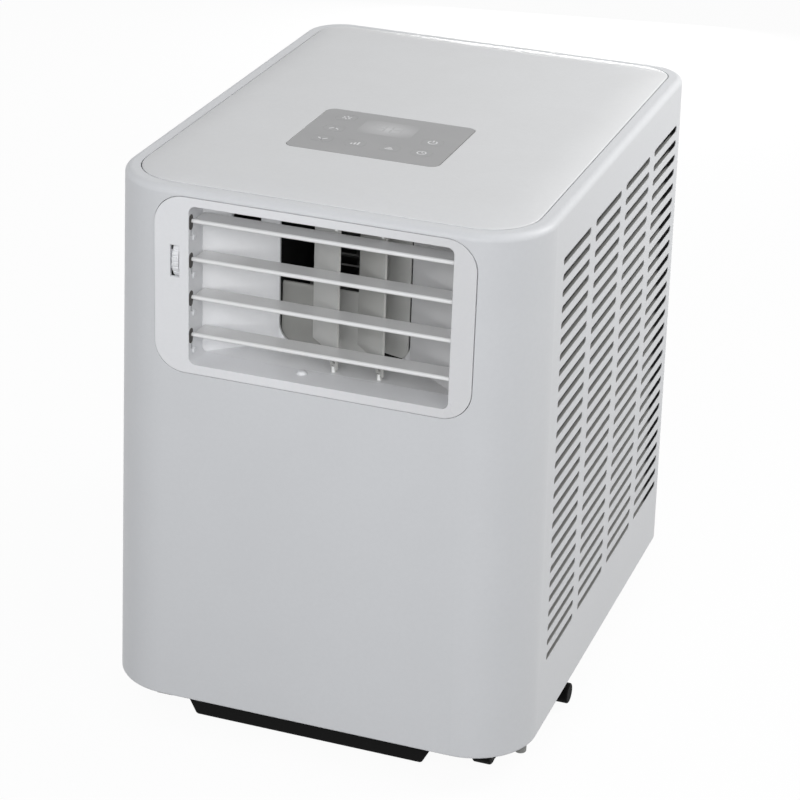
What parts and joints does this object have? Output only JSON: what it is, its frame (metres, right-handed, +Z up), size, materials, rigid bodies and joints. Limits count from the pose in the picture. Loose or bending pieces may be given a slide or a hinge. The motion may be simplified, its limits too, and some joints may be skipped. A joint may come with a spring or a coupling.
{
  "type": "portable air conditioner",
  "caption": "Compact portable air conditioner on castors: white cabinet with louvred front outlet, slotted side grilles, key panel on the lid and a round exhaust port at the back.",
  "frame": {"origin": "on the floor under the middle of the cabinet", "axes": "+Z up, front with the air outlet towards -Y, right side towards +X"},
  "size_m": [0.3298, 0.4266, 0.437],
  "materials": {
    "shell_white": "fine satin moulded plastic",
    "lid_white": "satin",
    "vent_white": "semi-gloss",
    "panel_grey": "satin overlay film",
    "display_grey": "smoked window",
    "black_plastic": "fine grain",
    "black_rubber": "matte",
    "pad_grey": "satin",
    "base_grey": "fine grain",
    "fan_grey": "satin",
    "steel": "zinc plated",
    "coil": "bare fins",
    "compressor_black": "semi-gloss black",
    "copper": "bare copper tube",
    "box_plastic": "satin",
    "board_green": "solder mask",
    "filter_white": "satin",
    "filter_net": "fine woven net"
  },
  "bodies": {
    "cabinet": {"shell": "shell_white", "top_lid": "lid_white", "rear_cover": "shell_white", "rear_screws": "steel", "cord_gland": "black_rubber", "base_pan": "base_grey", "front_skid": "black_plastic", "corner_pads": "pad_grey", "drip_tray": "base_grey", "vent_frame": "vent_white", "outlet_duct": "vent_white", "upper_housing": "base_grey", "upper_motor": "steel", "lower_housing": "black_plastic", "lower_motor": "steel", "exhaust_collar": "black_plastic", "evaporator": "coil", "condenser": "coil", "compressor": "compressor_black", "compressor_feet": "black_rubber", "suction_tank": "compressor_black", "refrigerant_pipes": "copper", "control_box": "box_plastic", "control_board": "board_green", "panel_overlay": "panel_grey", "display_window": "display_grey", "filter_rails": "black_plastic"},
    "louvre_1": {"louvre_1": "vent_white"},
    "louvre_2": {"louvre_2": "vent_white"},
    "louvre_3": {"louvre_3": "vent_white"},
    "louvre_4": {"louvre_4": "vent_white"},
    "louvre_link": {"louvre_link": "vent_white"},
    "louvre_thumbwheel": {"louvre_thumbwheel": "vent_white"},
    "vane_left": {"vane_left": "vent_white"},
    "vane_right": {"vane_right": "vent_white"},
    "vane_link": {"vane_link": "vent_white"},
    "upper_fan": {"upper_fan": "fan_grey"},
    "lower_fan": {"lower_fan": "fan_grey"},
    "key_1": {"key_1": "panel_grey"},
    "key_2": {"key_2": "panel_grey"},
    "key_3": {"key_3": "panel_grey"},
    "key_4": {"key_4": "panel_grey"},
    "key_5": {"key_5": "panel_grey"},
    "key_6": {"key_6": "panel_grey"},
    "key_7": {"key_7": "panel_grey"},
    "filter_right": {"filter_frame_right": "filter_white", "filter_net_right": "filter_net", "filter_grip_right": "black_plastic"},
    "filter_left": {"filter_frame_left": "filter_white", "filter_net_left": "filter_net", "filter_grip_left": "black_plastic"},
    "drain_plug": {"drain_plug": "black_rubber"},
    "castor_front_left": {"castor_front_left": "black_plastic"},
    "wheel_front_left": {"wheel_front_left": "black_rubber"},
    "castor_front_right": {"castor_front_right": "black_plastic"},
    "wheel_front_right": {"wheel_front_right": "black_rubber"},
    "castor_rear_left": {"castor_rear_left": "black_plastic"},
    "wheel_rear_left": {"wheel_rear_left": "black_rubber"},
    "castor_rear_right": {"castor_rear_right": "black_plastic"},
    "wheel_rear_right": {"wheel_rear_right": "black_rubber"}
  },
  "joints": [
    {"name": "louvre_1_tilt", "type": "hinge", "parent": "cabinet", "child": "louvre_1", "pos_m": [0, -0.206, 0.4079], "axis": [1, 0, 0], "range_deg": [-28, 28]},
    {"name": "louvre_2_tilt", "type": "hinge", "parent": "cabinet", "child": "louvre_2", "pos_m": [0, -0.206, 0.3794], "axis": [1, 0, 0], "range_deg": [-28, 28]},
    {"name": "louvre_3_tilt", "type": "hinge", "parent": "cabinet", "child": "louvre_3", "pos_m": [0, -0.206, 0.3509], "axis": [1, 0, 0], "range_deg": [-28, 28]},
    {"name": "louvre_4_tilt", "type": "hinge", "parent": "cabinet", "child": "louvre_4", "pos_m": [0, -0.206, 0.3224], "axis": [1, 0, 0], "range_deg": [-28, 28]},
    {"name": "louvre_link_pin", "type": "hinge", "parent": "louvre_1", "child": "louvre_link", "pos_m": [-0.098, -0.198, 0.4079], "axis": [1, 0, 0], "range_deg": [-28, 28]},
    {"name": "thumbwheel_turn", "type": "hinge", "parent": "cabinet", "child": "louvre_thumbwheel", "pos_m": [-0.1018, -0.197, 0.378], "axis": [1, 0, 0], "range_deg": [-28, 28]},
    {"name": "vane_left_swing", "type": "hinge", "parent": "cabinet", "child": "vane_left", "pos_m": [0.0068, -0.182, 0.36], "axis": [0, 0, 1], "range_deg": [-56, 10]},
    {"name": "vane_right_swing", "type": "hinge", "parent": "cabinet", "child": "vane_right", "pos_m": [0.041, -0.182, 0.36], "axis": [0, 0, 1], "range_deg": [-56, 10]},
    {"name": "vane_link_pin", "type": "hinge", "parent": "vane_left", "child": "vane_link", "pos_m": [-0.00903, -0.16672, 0.4124], "axis": [0, 0, 1], "range_deg": [-10, 56]},
    {"name": "upper_fan_spin", "type": "hinge", "parent": "cabinet", "child": "upper_fan", "pos_m": [0, -0.055, 0.306], "axis": [1, 0, 0], "continuous": true},
    {"name": "lower_fan_spin", "type": "hinge", "parent": "cabinet", "child": "lower_fan", "pos_m": [0.044, 0.04, 0.128], "axis": [1, 0, 0], "continuous": true},
    {"name": "key_1_press", "type": "slide", "parent": "cabinet", "child": "key_1", "axis": [0, 0, -1], "range_m": [0, 0.0008], "stiffness_N_per_m": 1200, "springref_m": -0.0006},
    {"name": "key_2_press", "type": "slide", "parent": "cabinet", "child": "key_2", "axis": [0, 0, -1], "range_m": [0, 0.0008], "stiffness_N_per_m": 1200, "springref_m": -0.0006},
    {"name": "key_3_press", "type": "slide", "parent": "cabinet", "child": "key_3", "axis": [0, 0, -1], "range_m": [0, 0.0008], "stiffness_N_per_m": 1200, "springref_m": -0.0006},
    {"name": "key_4_press", "type": "slide", "parent": "cabinet", "child": "key_4", "axis": [0, 0, -1], "range_m": [0, 0.0008], "stiffness_N_per_m": 1200, "springref_m": -0.0006},
    {"name": "key_5_press", "type": "slide", "parent": "cabinet", "child": "key_5", "axis": [0, 0, -1], "range_m": [0, 0.0008], "stiffness_N_per_m": 1200, "springref_m": -0.0006},
    {"name": "key_6_press", "type": "slide", "parent": "cabinet", "child": "key_6", "axis": [0, 0, -1], "range_m": [0, 0.0008], "stiffness_N_per_m": 1200, "springref_m": -0.0006},
    {"name": "key_7_press", "type": "slide", "parent": "cabinet", "child": "key_7", "axis": [0, 0, -1], "range_m": [0, 0.0008], "stiffness_N_per_m": 1200, "springref_m": -0.0006},
    {"name": "filter_right_pull", "type": "slide", "parent": "cabinet", "child": "filter_right", "axis": [0, 1, 0], "range_m": [0, 0.32]},
    {"name": "filter_left_pull", "type": "slide", "parent": "cabinet", "child": "filter_left", "axis": [0, 1, 0], "range_m": [0, 0.32]},
    {"name": "drain_plug_pull", "type": "slide", "parent": "cabinet", "child": "drain_plug", "axis": [1, 0, 0], "range_m": [0, 0.02]},
    {"name": "castor_front_left_swivel", "type": "hinge", "parent": "cabinet", "child": "castor_front_left", "pos_m": [-0.1285, -0.16, 0.029], "axis": [0, 0, 1], "continuous": true},
    {"name": "wheel_front_left_roll", "type": "hinge", "parent": "castor_front_left", "child": "wheel_front_left", "pos_m": [-0.1285, -0.168, 0.011], "axis": [1, 0, 0], "continuous": true},
    {"name": "castor_front_right_swivel", "type": "hinge", "parent": "cabinet", "child": "castor_front_right", "pos_m": [0.1285, -0.16, 0.029], "axis": [0, 0, 1], "continuous": true},
    {"name": "wheel_front_right_roll", "type": "hinge", "parent": "castor_front_right", "child": "wheel_front_right", "pos_m": [0.1285, -0.168, 0.011], "axis": [1, 0, 0], "continuous": true},
    {"name": "castor_rear_left_swivel", "type": "hinge", "parent": "cabinet", "child": "castor_rear_left", "pos_m": [-0.1285, 0.16, 0.029], "axis": [0, 0, 1], "continuous": true},
    {"name": "wheel_rear_left_roll", "type": "hinge", "parent": "castor_rear_left", "child": "wheel_rear_left", "pos_m": [-0.1285, 0.152, 0.011], "axis": [1, 0, 0], "continuous": true},
    {"name": "castor_rear_right_swivel", "type": "hinge", "parent": "cabinet", "child": "castor_rear_right", "pos_m": [0.1285, 0.16, 0.029], "axis": [0, 0, 1], "continuous": true},
    {"name": "wheel_rear_right_roll", "type": "hinge", "parent": "castor_rear_right", "child": "wheel_rear_right", "pos_m": [0.1285, 0.152, 0.011], "axis": [1, 0, 0], "continuous": true}
  ],
  "couplings": [
    {"joint": "louvre_2_tilt", "follows": "louvre_1_tilt", "ratio": 1},
    {"joint": "louvre_3_tilt", "follows": "louvre_1_tilt", "ratio": 1},
    {"joint": "louvre_4_tilt", "follows": "louvre_1_tilt", "ratio": 1},
    {"joint": "louvre_link_pin", "follows": "louvre_1_tilt", "ratio": -1},
    {"joint": "thumbwheel_turn", "follows": "louvre_1_tilt", "ratio": 1},
    {"joint": "vane_right_swing", "follows": "vane_left_swing", "ratio": 1},
    {"joint": "vane_link_pin", "follows": "vane_left_swing", "ratio": -1}
  ]
}
